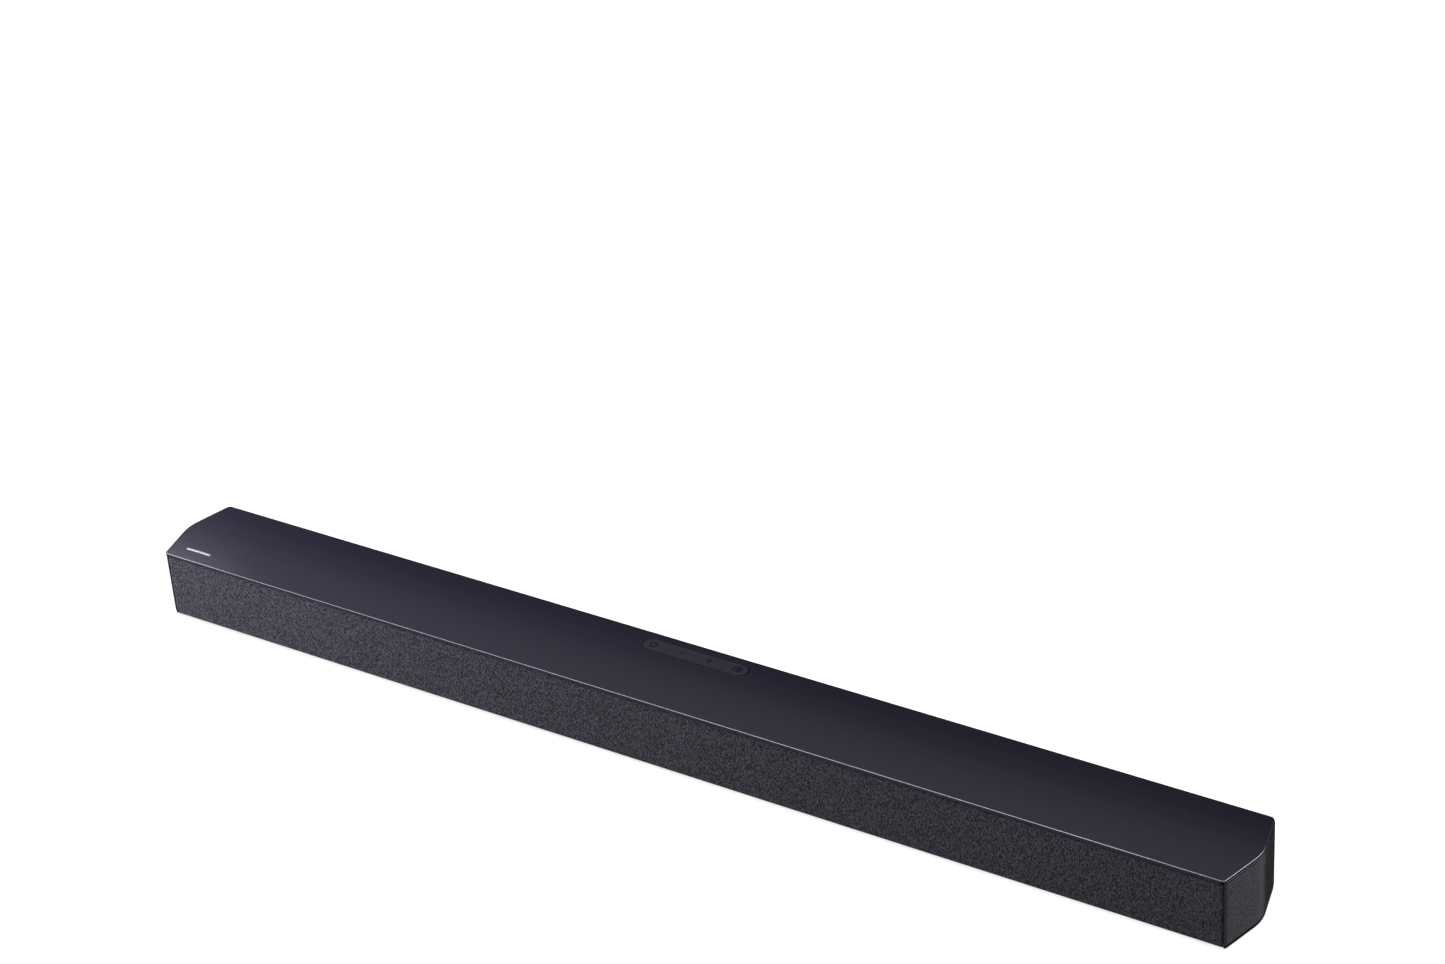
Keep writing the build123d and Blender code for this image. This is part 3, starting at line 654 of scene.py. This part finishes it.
# Driver baskets: smooth black paint.
BASKET = MouldedPlastic("basket_black_paint", "#1b1b1d", 0.35, shade="#18181a", grain_mm=0.5)
# Motors: dull grey stone with grinding marks.
FERRITE = SoftPart("ground_ferrite", "#3a3a3c", 0.5, patch="#48484b", fibre_mm=(0.5, 4.0, 0.5), depth_mm=0.02)
# Capacitors: glossy dark sleeve.
CAN = MouldedPlastic("capacitor_sleeve", "#26262f", 0.3, shade="#222229", grain_mm=1.2, depth_mm=0.005)
# Infra-red receiver: near-black glassy epoxy.
RECEIVER = MouldedPlastic("receiver_epoxy", "#1d1012", 0.12, shade="#180c0e", grain_mm=2.0, depth_mm=0.002)
# Status lamps: cloudy clear epoxy.
LENS = MouldedPlastic("led_epoxy", "#dcdcd2", 0.15, shade="#d0d0c4", grain_mm=1.0, depth_mm=0.002)
# Circuit boards: glossy green with raised tracks.
BOARD = SolderMask("board_solder_mask", "#17402a", 0.25, track="#1f5236")
# Key marks: dead black against the matt keys.
INK = PrintedInk("key_ink", "#030304", 0.7)


# ---------------------------------------------------------------- sub-assemblies


@dataclass
class KeptNodes:
    """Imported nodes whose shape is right, so that they only take a finish."""

    finishes: dict[str, Finish]

    def build(self) -> None:
        """Give every named node its finish."""
        for name, finish in self.finishes.items():
            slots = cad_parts[name].data.materials
            if len(slots) == 0:
                slots.append(None)
            for i in range(len(slots)):
                slots[i] = finish.material()


@dataclass
class Mark:
    """One printed key mark: strokes, each a list of points in millimetres about the key's middle."""

    key: str
    strokes: list[list[tuple[float, float]]]


@dataclass
class KeyPad:
    """The four keys of the pill-shaped pad, with their printed marks."""

    pitch: float = 22.5 * MM
    stroke: float = 0.75 * MM
    film: float = 0.02 * MM

    def marks(self) -> list[Mark]:
        """Return the marks: a switch sign, minus, plus, and an arrow into a bracket."""
        ring = [
            (2.5 * math.sin(math.radians(a)), 2.5 * math.cos(math.radians(a))) for a in range(35, 326, 10)
        ]
        bracket = [
            (-0.6, 2.4), (-2.1, 2.4), (-2.6, 1.9), (-2.6, -1.9), (-2.1, -2.4),
            (2.1, -2.4), (2.6, -1.9), (2.6, 1.9), (2.1, 2.4), (1.6, 2.4),
        ]
        return [
            Mark("power", [ring, [(0, 0.6), (0, 3.1)]]),
            Mark("volume_down", [[(-2.3, 0), (2.3, 0)]]),
            Mark("volume_up", [[(-2.3, 0), (2.3, 0)], [(0, -2.3), (0, -0.4)], [(0, 0.4), (0, 2.3)]]),
            Mark("source", [bracket, [(0.5, 3.2), (0.5, -0.1)], [(-0.9, 0.8), (0.5, -0.7), (1.9, 0.8)]]),
        ]

    def ribbon(self, shell: bmesh.types.BMesh, points: list[Vector]) -> None:
        """Add one stroke as a thin closed strip of ink.

        Args:
            shell: the mesh that the stroke is added to.
            points: the stroke's middle line, on the key's face.
        """
        sides = []
        for i, at in enumerate(points):
            before, after = points[max(i - 1, 0)], points[min(i + 1, len(points) - 1)]
            along = (after - before).normalized()
            out = Vector((-along.y, along.x, 0)) * self.stroke / 2
            up = Vector((0, 0, self.film))
            sides.append([shell.verts.new(at + p) for p in (out + up, -out + up, -out, out)])
        for a, b in zip(sides, sides[1:]):
            for k in range(4):
                shell.faces.new((a[k], b[k], b[(k + 1) % 4], a[(k + 1) % 4]))
        shell.faces.new(list(reversed(sides[0])))
        shell.faces.new(sides[-1])

    def build(self) -> None:
        """Print the marks on the keys."""
        for i, mark in enumerate(self.marks()):
            low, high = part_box(f"{mark.key}_key")
            middle = Vector(((i - 1.5) * self.pitch, (low.y + high.y) / 2, high.z))
            shell = bmesh.new()
            for stroke in mark.strokes:
                self.ribbon(shell, [middle + Vector((x * MM, y * MM, 0)) for x, y in stroke])
            bmesh.ops.recalc_face_normals(shell, faces=shell.faces)
            mesh = bpy.data.meshes.new(f"{mark.key}_mark")
            shell.to_mesh(mesh)
            shell.free()
            mesh.materials.append(INK.material())
            piece = new_piece(f"{mark.key}_mark", mesh, f"{mark.key}_button")
            log.info("piece %s rides on %s", piece.name, f"{mark.key}_button")


@dataclass
class GrilleCloth:
    """The cloth, one sheet drawn over the front of the grille frame and turned round its edges."""

    thickness: float = 0.5 * MM
    edge_radius: float = 1.5 * MM
    edge_steps: int = 6
    cell: float = 6.0 * MM
    hem_weld: float = 1e-6

    def wrap(self, low: float, high: float, depth: float) -> list[tuple[float, float]]:
        """Lay out one direction of the sheet, from its turned-in hem to the other hem.

        Args:
            low: where the grille starts in this direction.
            high: where it ends.
            depth: how deep the sides are.

        Returns:
            Pairs of the place in this direction and the depth behind the face.
        """
        r, n = self.edge_radius, self.edge_steps
        turn = [
            (low + r - r * math.sin(math.radians(a)), r - r * math.cos(math.radians(a)))
            for a in [90 - 90 * i / n for i in range(n + 1)]
        ]
        cells = round((high - low - 2 * r) / self.cell)
        face = [(low + r + (high - low - 2 * r) * i / cells, 0.0) for i in range(1, cells)]
        start = [(low, depth), *turn]
        end = [(low + high - p, d) for p, d in reversed(start)]
        return start + face + end

    def build(self) -> None:
        """Lay the sheet, give it its thickness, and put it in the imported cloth's place."""
        low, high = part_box("grille_cloth")
        depth = high.y - low.y
        across = self.wrap(low.x, high.x, depth)
        upward = self.wrap(low.z, high.z, depth)
        shell = bmesh.new()
        rows = [
            [shell.verts.new((x, low.y + max(dx, dz), z)) for x, dx in across] for z, dz in upward
        ]
        for a, b in zip(rows, rows[1:]):
            for i in range(len(across) - 1):
                shell.faces.new((a[i], a[i + 1], b[i + 1], b[i]))
        bmesh.ops.remove_doubles(shell, verts=shell.verts, dist=self.hem_weld)
        bmesh.ops.dissolve_degenerate(shell, edges=shell.edges, dist=WELD)
        mesh = bpy.data.meshes.new("stretched_cloth")
        shell.to_mesh(mesh)
        shell.free()
        mesh.materials.append(CLOTH.material())
        mesh.polygons.foreach_set("use_smooth", [True] * len(mesh.polygons))
        piece = new_piece("stretched_cloth", mesh)
        wall = piece.modifiers.new("thickness", "SOLIDIFY")
        wall.thickness = self.thickness
        wall.offset = -1.0
        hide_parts("grille_cloth")
        log.info("piece %s replaces grille_cloth", piece.name)


@dataclass
class EndCap:
    """A ribbed end cap: a skin swept round the end, a stack of ribs, and a plain rim beside the cover."""

    side: int
    corner_x: float = 422.0 * MM
    corner_y: float = 37.0 * MM
    front_y: float = -36.2 * MM
    bend_x: float = 431.06 * MM
    bend_y: float = 0.5 * MM
    edge_x: float = 420.9 * MM
    lead_in: float = 10.0 * MM
    front_radius: float = 3.5 * MM
    bend_radius: float = 35.0 * MM
    back_radius: float = 4.5 * MM
    bend_steps: int = 24
    wall: float = 2.2 * MM
    rim_wall: float = 2.2 * MM
    rim_height: float = 1.5 * MM
    rim_edge: float = 0.45 * MM
    rim_steps: int = 3
    rib_pitch: float = 1.8 * MM
    rib_depth: float = 0.4 * MM
    rib_height: float = 1.0 * MM
    rib_count: int = 26
    rib_sides: int = 12
    first_rib: float = 3.2 * MM

    @property
    def node_name(self) -> str:
        """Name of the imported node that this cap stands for."""
        return "end_cap_right" if self.side > 0 else "end_cap_left"

    def outline(self) -> bpy.types.Mesh:
        """Return the cap's plan line, walked so that the outside is always on its right."""
        lean = (self.bend_x - self.corner_x) / (self.bend_y + self.corner_y)
        front_x = self.corner_x + (self.front_y + self.corner_y) * lean
        inside = self.edge_x - self.lead_in
        whole = rounded_path(
            [
                (inside, self.front_y),
                (front_x, self.front_y),
                (self.bend_x, self.bend_y),
                (self.corner_x, self.corner_y),
                (inside, self.corner_y),
            ],
            [self.front_radius, self.bend_radius, self.back_radius],
            self.bend_steps,
        )
        points = self.trimmed(whole)
        if self.side < 0:
            points = [Vector((-p.x, p.y, 0)) for p in reversed(points)]
        mesh = bpy.data.meshes.new(f"{self.node_name}_line")
        mesh.from_pydata(points, [(i, i + 1) for i in range(len(points) - 1)], [])
        return mesh

    def trimmed(self, points: list[Vector]) -> list[Vector]:
        """Cut a plan line off where the cap's skin starts.

        Args:
            points: the whole line, front to back.

        Returns:
            The part of it beyond the skin's edge, with a point on the edge at each end.
        """
        kept = []
        for a, b in zip(points, points[1:]):
            if (a.x < self.edge_x) != (b.x < self.edge_x):
                kept.append(a.lerp(b, (self.edge_x - a.x) / (b.x - a.x)))
            if b.x >= self.edge_x:
                kept.append(b)
        return kept

    def build(self) -> None:
        """Sweep the skin and the rim, stack the ribs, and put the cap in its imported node's place."""
        low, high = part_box(self.node_name)
        shape = GeometryTree(
            f"{self.node_name}_shape",
            {
                "Wall": self.wall - self.rib_depth,
                "Skin Height": high.z - self.rim_height - low.z,
                "Skin Offset": -(self.wall + self.rib_depth) / 2,
                "Skin Middle": -(high.z - self.rim_height + low.z) / 2,
                "Rim Wall": self.rim_wall,
                "Rim Height": self.rim_height,
                "Rim Offset": -self.rim_wall / 2,
                "Rim Middle": -(high.z - self.rim_height / 2),
                "Rim Edge": self.rim_edge,
                "Rib Depth": self.rib_depth,
                "Rib Half Height": self.rib_height / 2,
                "Rib Count": self.rib_count,
                "Rib Pitch": self.rib_pitch,
                "First Rib": low.z + self.first_rib,
            },
        )
        tree = shape.tree
        path = node(tree, "GeometryNodeMeshToCurve", links={"Mesh": shape.input("Geometry")}).outputs[0]

        skin = node(
            tree,
            "GeometryNodeCurvePrimitiveQuadrilateral",
            links={"Width": shape.input("Wall"), "Height": shape.input("Skin Height")},
        ).outputs[0]
        rim = node(
            tree,
            "GeometryNodeCurvePrimitiveQuadrilateral",
            links={"Width": shape.input("Rim Wall"), "Height": shape.input("Rim Height")},
        ).outputs[0]
        rim = node(
            tree,
            "GeometryNodeFilletCurve",
            {"Count": self.rim_steps},
            {"Curve": rim, "Radius": shape.input("Rim Edge")},
            mode="POLY",
        ).outputs[0]
        size = node(
            tree,
            "ShaderNodeCombineXYZ",
            {"Z": 1.0},
            {"X": shape.input("Rib Depth"), "Y": shape.input("Rib Half Height")},
        ).outputs[0]
        rib = node(
            tree,
            "GeometryNodeCurvePrimitiveCircle",
            {"Resolution": self.rib_sides, "Radius": 1.0},
            mode="RADIUS",
        ).outputs[0]
        rib = node(tree, "GeometryNodeTransform", links={"Geometry": rib, "Scale": size}).outputs[0]
        back = node(tree, "ShaderNodeMath", {1: -1.0}, {0: shape.input("Rib Depth")}, operation="MULTIPLY")
        inward = node(tree, "ShaderNodeCombineXYZ", links={"X": back.outputs[0]}).outputs[0]
        rib = node(tree, "GeometryNodeTransform", links={"Geometry": rib, "Translation": inward}).outputs[0]
        rib = shape.sweep(path, rib)
        step = node(tree, "ShaderNodeCombineXYZ", links={"Z": shape.input("Rib Pitch")}).outputs[0]
        start = node(tree, "ShaderNodeCombineXYZ", links={"Z": shape.input("First Rib")}).outputs[0]
        stack = node(
            tree,
            "GeometryNodeMeshLine",
            links={"Count": shape.input("Rib Count"), "Start Location": start, "Offset": step},
        ).outputs[0]
        ribs = node(tree, "GeometryNodeInstanceOnPoints", links={"Points": stack, "Instance": rib}).outputs[0]
        joined = node(tree, "GeometryNodeJoinGeometry")
        swept_skin = shape.sweep(path, skin, "Skin Offset", "Skin Middle")
        swept_rim = shape.sweep(path, rim, "Rim Offset", "Rim Middle")
        for part in (swept_skin, swept_rim, ribs):
            tree.links.new(part, joined.inputs[0])
        shape.close(joined.outputs[0])
        name = f"ribbed_cap_{'right' if self.side > 0 else 'left'}"
        mesh = shape.mesh(self.outline(), CAP.material())
        mesh.name = name
        piece = new_piece(name, mesh)
        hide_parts(self.node_name)
        log.info("piece %s: %d faces", piece.name, len(mesh.polygons))


@dataclass
class ContactRow:
    """A row of flat spring contacts inside a socket."""

    name: str
    socket: str
    count: int
    pitch: float
    width: float
    length: float
    height_up: float
    depth_in: float = 1.2 * MM
    leaf: float = 0.15 * MM

    def build(self) -> None:
        """Lay the contacts in a row across the socket's tongue."""
        low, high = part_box(self.socket)
        row = GeometryTree(
            f"{self.name}_row",
            {
                "Count": self.count,
                "Pitch": self.pitch,
                "Contact Width": self.width,
                "Contact Length": self.length,
                "Contact Thickness": self.leaf,
                "First X": (low.x + high.x) / 2 - self.pitch * (self.count - 1) / 2,
                "Row Y": high.y - self.depth_in - self.length / 2,
                "Row Z": low.z + self.height_up,
            },
        )
        tree = row.tree
        size = node(
            tree,
            "ShaderNodeCombineXYZ",
            links={
                "X": row.input("Contact Width"),
                "Y": row.input("Contact Length"),
                "Z": row.input("Contact Thickness"),
            },
        ).outputs[0]
        leaf = node(tree, "GeometryNodeMeshCube", links={"Size": size}).outputs[0]
        start = node(
            tree,
            "ShaderNodeCombineXYZ",
            links={"X": row.input("First X"), "Y": row.input("Row Y"), "Z": row.input("Row Z")},
        ).outputs[0]
        step = node(tree, "ShaderNodeCombineXYZ", links={"X": row.input("Pitch")}).outputs[0]
        line = node(
            tree,
            "GeometryNodeMeshLine",
            links={"Count": row.input("Count"), "Start Location": start, "Offset": step},
        ).outputs[0]
        leaves = node(tree, "GeometryNodeInstanceOnPoints", links={"Points": line, "Instance": leaf})
        row.close(leaves.outputs[0])
        mesh = row.mesh(bpy.data.meshes.new(f"{self.name}_start"), GOLD.material())
        mesh.name = self.name
        new_piece(self.name, mesh)
        log.info("piece %s: %d contacts", self.name, self.count)


# ---------------------------------------------------------------- studio


@dataclass
class SoftBox:
    """One studio light: a flat panel that faces a point and isn't itself in view."""

    name: str
    at: tuple[float, float, float]
    aim: tuple[float, float, float]
    size: tuple[float, float]
    watts: float
    falls_on: bpy.types.Collection
    diffuse: bool = True
    glossy: bool = True
    shadow: bool = True
    colour: str = "#f9f6ff"

    def build(self) -> bpy.types.Object:
        """Hang the panel and return it."""
        data = bpy.data.lights.new(self.name, "AREA")
        data.shape = "RECTANGLE"
        data.size, data.size_y = self.size
        data.energy = self.watts
        panel = bpy.data.objects.new(self.name, data)
        bpy.context.scene.collection.objects.link(panel)
        panel.location = self.at
        panel.rotation_euler = (Vector(self.aim) - Vector(self.at)).to_track_quat("-Z", "Y").to_euler()
        panel.visible_camera = False
        panel.visible_diffuse = self.diffuse
        panel.visible_glossy = self.glossy
        data.use_shadow = self.shadow
        data.color = linear(self.colour)[:3]
        panel.light_linking.receiver_collection = self.falls_on
        return panel


@dataclass
class Studio:
    """The pale floor, the soft lights and the camera.

    A light with diffuse off shows only as a reflection, and one with glossy off only brightens. They are set
    for this camera, one reflection for each long highlight on the cover and caps.
    """

    floor_colour: str = "#f4f4f4"
    floor_half: float = 40.0
    world_level: float = 0.06
    camera_at: tuple[float, float, float] = (1.122, -1.547, 1.3285)
    camera_tilt: float = 59.3941
    camera_roll: float = 3.7519
    camera_heading: float = 32.509
    lens: float = 84.78
    sensor: float = 36.0
    far: float = 100.0

    def lights(self, floor: bpy.types.Object) -> list[SoftBox]:
        """Return the lights: one falls on the floor alone and the others on everything else.

        Args:
            floor: the studio floor.

        Returns:
            Every light panel.
        """
        alone = bpy.data.collections.new("floor_alone")
        alone.objects.link(floor)
        lit = bpy.data.collections.new("all_but_floor")
        lit.objects.link(floor)
        lit.collection_objects[0].light_linking.link_state = "EXCLUDE"
        return [
            SoftBox("key_left", (-0.85, -0.45, 0.35), (-0.4, 0.0, 0.03), (0.4, 0.3), 15.0, lit, glossy=False),
            SoftBox("overhead", (0.0, 0.0, 3.2), (0.0, 0.0, 0.0), (3.5, 3.5), 50.0, lit),
            SoftBox(
                "floor_wash", (0.0, 0.3, 12.0), (0.0, 0.3, 0.0), (60.0, 60.0), 19000.0, alone,
                glossy=False, shadow=False, colour="#ffffff",
            ),
            SoftBox(
                "cover_sheen", (-0.1, 0.012, 0.14), (-0.1, 0.012, 0.0), (1.2, 0.19), 0.33, lit, diffuse=False
            ),
            SoftBox(
                "cover_sheen_left", (-0.66, 0.01, 0.19), (-0.66, 0.01, 0.0), (0.36, 0.16), 1.1, lit, diffuse=False
            ),
            SoftBox(
                "cover_sheen_right", (0.38, -0.02, 0.14), (0.38, -0.02, 0.0), (0.26, 0.18), 0.62, lit, diffuse=False
            ),
            SoftBox(
                "edge_light", (-0.66, -0.46, 0.55), (-0.66, -0.037, 0.05), (1.6, 0.36), 10.0, lit, diffuse=False
            ),
            SoftBox("rim_light", (0.95, 0.34, 0.42), (0.42, 0.0, 0.05), (0.55, 0.5), 3.8, lit, diffuse=False),
            SoftBox(
                "lip_card", (-0.32, -0.46, -0.3), (-0.32, -0.037, 0.05), (1.3, 0.24), 0.3, lit, diffuse=False
            ),
            SoftBox("bend_card", (1.02, 0.60, 0.10), (0.425, 0.0, 0.027), (0.22, 0.8), 0.8, lit, diffuse=False),
            SoftBox(
                "corner_card", (1.087, -0.277, 0.12), (0.421, -0.034, 0.027), (0.7, 0.7), 2.4, lit, diffuse=False
            ),
            SoftBox("rear_fill", (-0.3, 1.8, 0.3), (-0.3, 0.0, 0.03), (2.0, 0.5), 16.0, lit, glossy=False),
        ]

    def build(self) -> None:
        """Set up the floor, world, lights and camera."""
        half = self.floor_half
        mesh = bpy.data.meshes.new("studio_floor")
        corners = [(-half, -half, 0), (half, -half, 0), (half, half, 0), (-half, half, 0)]
        mesh.from_pydata(corners, [], [(0, 1, 2, 3)])
        paper = MouldedPlastic("floor_paper", self.floor_colour, 0.9, shade="#f1f1f1", grain_mm=1.5)
        mesh.materials.append(paper.material())
        floor = bpy.data.objects.new("studio_floor", mesh)
        bpy.context.scene.collection.objects.link(floor)
        floor.visible_glossy = False
        floor.visible_shadow = False
        world = bpy.data.worlds.new("studio")
        world.use_nodes = True
        world.node_tree.nodes.clear()
        sky = node(world.node_tree, "ShaderNodeBackground", {"Color": (1, 1, 1, 1), "Strength": self.world_level})
        node(world.node_tree, "ShaderNodeOutputWorld", links={"Surface": sky.outputs[0]})
        bpy.context.scene.world = world
        for light in self.lights(floor):
            light.build()
        lens = bpy.data.cameras.new("camera")
        lens.lens = self.lens
        lens.sensor_width = self.sensor
        lens.clip_end = self.far
        camera = bpy.data.objects.new("camera", lens)
        bpy.context.scene.collection.objects.link(camera)
        camera.location = self.camera_at
        camera.rotation_euler = [math.radians(a) for a in (self.camera_tilt, self.camera_roll, self.camera_heading)]
        bpy.context.scene.camera = camera
        bpy.context.scene.view_settings.view_transform = "Standard"


# ---------------------------------------------------------------- the whole bar

DRIVERS = ("outer_left", "inner_left", "inner_right", "outer_right")
KEYS = ("power", "volume_down", "volume_up", "source")

SHELL = {
    "top_cover": COVER,
    "badge": ALUMINIUM,
    "cabinet": CABINET,
    "front_baffle": BAFFLE,
    "grille_frame": BAFFLE,
    "rubber_feet": RUBBER,
    "wall_mount_inserts": BRASS,
    "case_screws": BLACK_STEEL,
}
CONNECTORS = {
    "jack_panel": PANEL,
    "dc_inlet": NYLON,
    "usb_socket": STEEL,
    "hdmi_socket": STEEL,
    "optical_socket": NYLON,
}
ELECTRONICS = {
    "main_board": BOARD,
    "key_board": BOARD,
    "sensor_board": BOARD,
    "amplifier_heatsink": SINK,
    "capacitors": CAN,
    "tact_switches": STEEL,
    "ir_receiver": RECEIVER,
    "status_leds": LENS,
    "board_screws": BLACK_STEEL,
    "driver_screws": BLACK_STEEL,
    "key_ribbon": FILM,
    "speaker_leads": LEAD,
}
DRIVER_PARTS = {
    "basket": BASKET,
    "motor": FERRITE,
    "surround": BUTYL,
    "spider": DIPPED_COTTON,
    "cone": PULP,
    "voice_coil": COPPER,
}


def main() -> None:
    """Build every sub-assembly in order, then the studio."""
    logging.basicConfig(level=logging.INFO, format="%(name)s: %(message)s")
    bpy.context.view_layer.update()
    keys = {f"{k}_key": KEY for k in KEYS} | {f"{k}_plunger": NYLON for k in KEYS}
    drivers = {f"{d}_{part}": finish for d in DRIVERS for part, finish in DRIVER_PARTS.items()}
    groups = {
        "shell": SHELL,
        "connectors": CONNECTORS,
        "electronics": ELECTRONICS,
        "keys": keys,
        "drivers": drivers,
    }
    for group, finishes in groups.items():
        KeptNodes(finishes).build()
        log.info("%s: %d packed nodes dressed", group, len(finishes))
    KeyPad().build()
    GrilleCloth().build()
    for side in (-1, 1):
        EndCap(side).build()
    ContactRow("usb_contacts", "usb_socket", 4, 2.2 * MM, 1.2 * MM, 6.0 * MM, 3.6 * MM).build()
    ContactRow("hdmi_contacts_upper", "hdmi_socket", 10, 1.0 * MM, 0.45 * MM, 5.0 * MM, 3.75 * MM).build()
    ContactRow("hdmi_contacts_lower", "hdmi_socket", 9, 1.0 * MM, 0.45 * MM, 5.0 * MM, 2.45 * MM).build()
    Studio().build()


if __name__ == "__main__":
    main()
